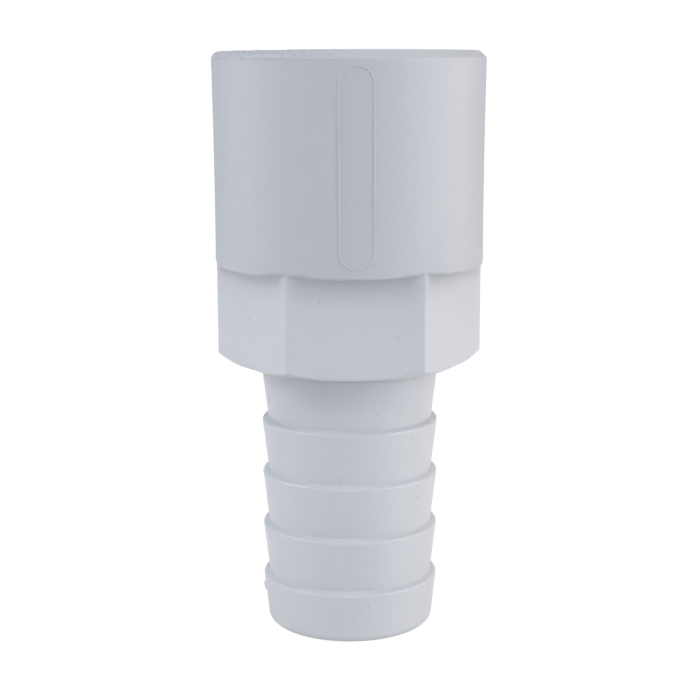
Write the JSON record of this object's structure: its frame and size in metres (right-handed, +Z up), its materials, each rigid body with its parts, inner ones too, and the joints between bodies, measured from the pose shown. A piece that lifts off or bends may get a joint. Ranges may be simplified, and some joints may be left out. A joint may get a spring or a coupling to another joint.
{
  "type": "threaded hose barb",
  "caption": "Pale moulded plastic hose barb: a round socket with an internal thread bore, a hexagon below it, and a ringed hose tail with a bore right through.",
  "frame": {"origin": "on the common axis, at the middle of the tail's end face", "axes": "+Z up the common axis from the tail to the rim; -Y out of the hexagon's front flat and the raised outline; +X to the right"},
  "size_m": [0.043, 0.0431, 0.0925],
  "materials": {
    "moulded_plastic": "fine matte as moulded, pale cool grey-white, a few tiny dark specks"
  },
  "bodies": {
    "root": {"fitting_body": "moulded_plastic"}
  },
  "joints": []
}
